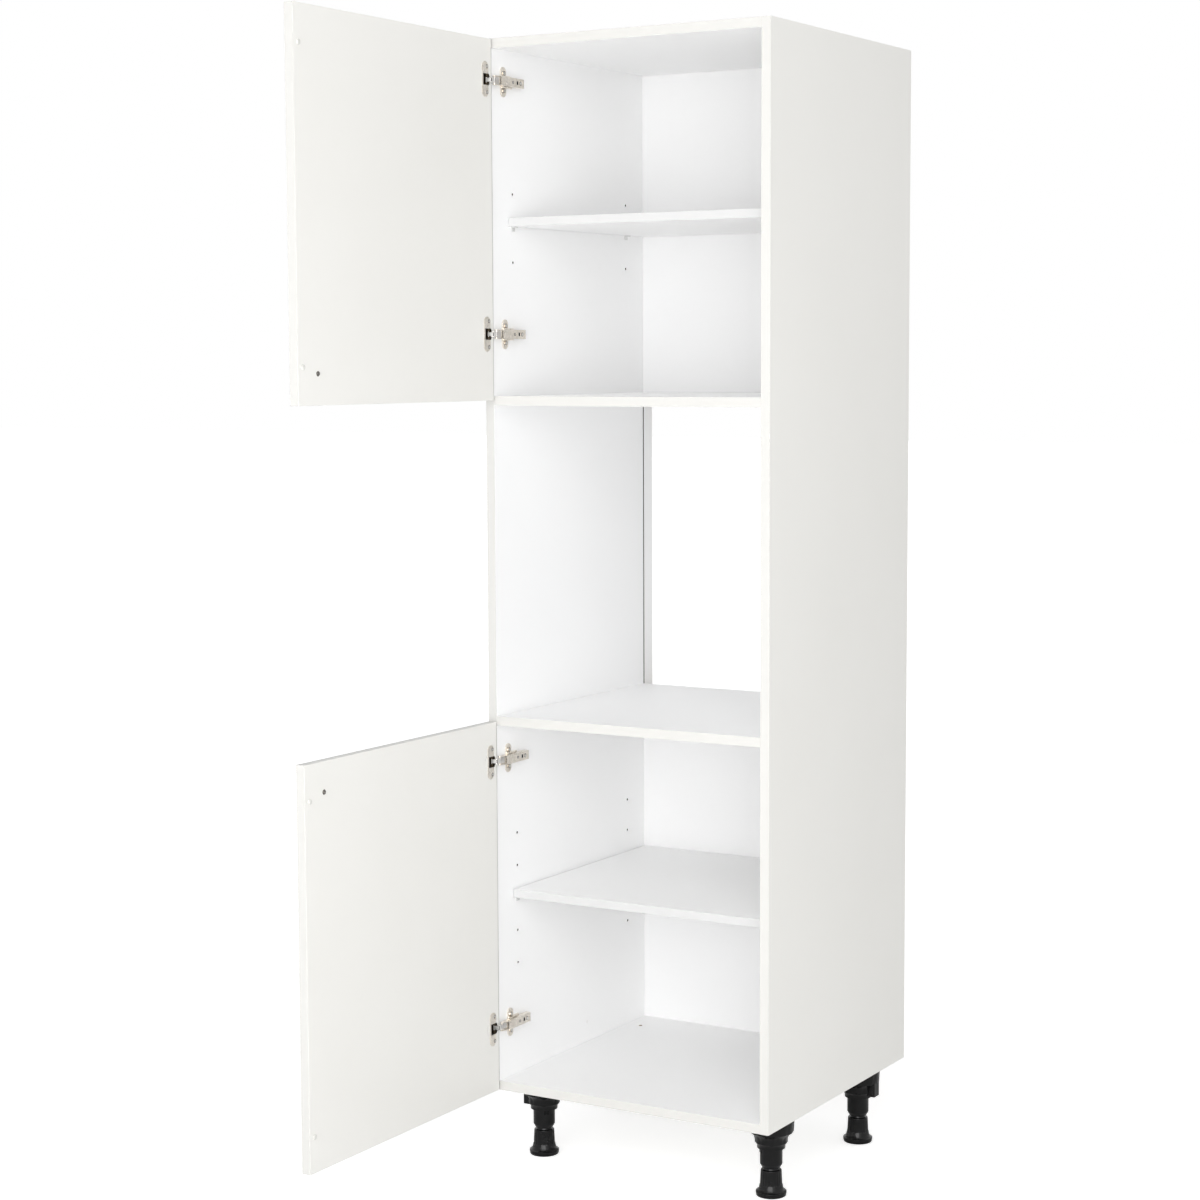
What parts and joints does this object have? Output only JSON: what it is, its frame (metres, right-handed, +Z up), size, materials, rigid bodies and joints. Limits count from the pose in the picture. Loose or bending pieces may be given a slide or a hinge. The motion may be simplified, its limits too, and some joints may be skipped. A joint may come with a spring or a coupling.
{
  "type": "tall oven housing unit",
  "caption": "Tall white kitchen unit with an open oven niche between an upper and a lower cupboard, each with a shelf and a full-overlay hinged door, on adjustable legs.",
  "frame": {"origin": "on the floor under the middle of the carcass's front edge", "axes": "+Z up, front towards -Y, hinges at -X"},
  "size_m": [0.622, 1.203, 2.15],
  "materials": {
    "carcass_board": "satin white melamine on chipboard",
    "back_board": "matt white lacquered hardboard",
    "shelf_board": "satin white melamine on chipboard",
    "door_board": "satin warm white faced board",
    "leg_plastic": "moulded black plastic",
    "hinge_metal": "nickel plated pressed steel",
    "screw_steel": "zinc plated steel",
    "knob_metal": "satin metal",
    "bumper_plastic": "soft clear plastic pad"
  },
  "bodies": {
    "carcass": {"left_side": "carcass_board", "right_side": "carcass_board", "top_panel": "carcass_board", "bottom_panel": "carcass_board", "niche_floor": "carcass_board", "niche_ceiling": "carcass_board", "lower_back": "back_board", "upper_back": "back_board", "upper_shelf": "shelf_board", "lower_shelf": "shelf_board", "upper_shelf_peg_front_left": "hinge_metal", "upper_shelf_peg_rear_left": "hinge_metal", "upper_shelf_peg_front_right": "hinge_metal", "upper_shelf_peg_rear_right": "hinge_metal", "lower_shelf_peg_front_left": "hinge_metal", "lower_shelf_peg_rear_left": "hinge_metal", "lower_shelf_peg_front_right": "hinge_metal", "lower_shelf_peg_rear_right": "hinge_metal", "leg_socket_front_left": "leg_plastic", "leg_socket_front_right": "leg_plastic", "leg_socket_rear_left": "leg_plastic", "leg_socket_rear_right": "leg_plastic", "lower_hinge_top_plate": "hinge_metal", "lower_hinge_top_arm": "hinge_metal", "lower_hinge_top_screw": "screw_steel", "lower_hinge_bottom_plate": "hinge_metal", "lower_hinge_bottom_arm": "hinge_metal", "lower_hinge_bottom_screw": "screw_steel", "upper_hinge_top_plate": "hinge_metal", "upper_hinge_top_arm": "hinge_metal", "upper_hinge_top_screw": "screw_steel", "upper_hinge_bottom_plate": "hinge_metal", "upper_hinge_bottom_arm": "hinge_metal", "upper_hinge_bottom_screw": "screw_steel"},
    "lower_door_links": {"lower_hinge_top_outer_link": "hinge_metal", "lower_hinge_top_inner_link": "screw_steel", "lower_hinge_bottom_outer_link": "hinge_metal", "lower_hinge_bottom_inner_link": "screw_steel"},
    "lower_door": {"lower_door": "door_board", "lower_door_bumper_top": "bumper_plastic", "lower_door_bumper_bottom": "bumper_plastic", "lower_door_knob": "knob_metal", "lower_door_knob_screw": "screw_steel", "lower_hinge_top_cup": "hinge_metal", "lower_hinge_bottom_cup": "hinge_metal"},
    "upper_door_links": {"upper_hinge_top_outer_link": "hinge_metal", "upper_hinge_top_inner_link": "screw_steel", "upper_hinge_bottom_outer_link": "hinge_metal", "upper_hinge_bottom_inner_link": "screw_steel"},
    "upper_door": {"upper_door": "door_board", "upper_door_bumper_top": "bumper_plastic", "upper_door_bumper_bottom": "bumper_plastic", "upper_door_knob": "knob_metal", "upper_door_knob_screw": "screw_steel", "upper_hinge_top_cup": "hinge_metal", "upper_hinge_bottom_cup": "hinge_metal"},
    "foot_front_left": {"leg_foot_front_left": "leg_plastic"},
    "foot_front_right": {"leg_foot_front_right": "leg_plastic"},
    "foot_rear_left": {"leg_foot_rear_left": "leg_plastic"},
    "foot_rear_right": {"leg_foot_rear_right": "leg_plastic"}
  },
  "joints": [
    {"name": "lower_door_swing", "type": "hinge", "parent": "carcass", "child": "lower_door", "pos_m": [-0.29025, -0.01425, 0.5105], "axis": [0, 0, -1], "range_deg": [-90, 1.5]},
    {"name": "lower_door_links_swing", "type": "hinge", "parent": "carcass", "child": "lower_door_links", "pos_m": [-0.275, -0.001, 0.5105], "axis": [0, 0, 1], "range_deg": [-29.8, 0.55]},
    {"name": "upper_door_swing", "type": "hinge", "parent": "carcass", "child": "upper_door", "pos_m": [-0.29025, -0.01425, 1.8135], "axis": [0, 0, -1], "range_deg": [-90, 1.5]},
    {"name": "upper_door_links_swing", "type": "hinge", "parent": "carcass", "child": "upper_door_links", "pos_m": [-0.275, -0.001, 1.8135], "axis": [0, 0, 1], "range_deg": [-29.8, 0.55]},
    {"name": "foot_front_left_height", "type": "slide", "parent": "carcass", "child": "foot_front_left", "axis": [0, 0, -1], "range_m": [0, 0.03]},
    {"name": "foot_front_right_height", "type": "slide", "parent": "carcass", "child": "foot_front_right", "axis": [0, 0, -1], "range_m": [0, 0.03]},
    {"name": "foot_rear_left_height", "type": "slide", "parent": "carcass", "child": "foot_rear_left", "axis": [0, 0, -1], "range_m": [0, 0.03]},
    {"name": "foot_rear_right_height", "type": "slide", "parent": "carcass", "child": "foot_rear_right", "axis": [0, 0, -1], "range_m": [0, 0.03]}
  ],
  "couplings": [
    {"joint": "lower_door_links_swing", "follows": "lower_door_swing", "ratio": 0.33082},
    {"joint": "upper_door_links_swing", "follows": "upper_door_swing", "ratio": 0.33082}
  ]
}
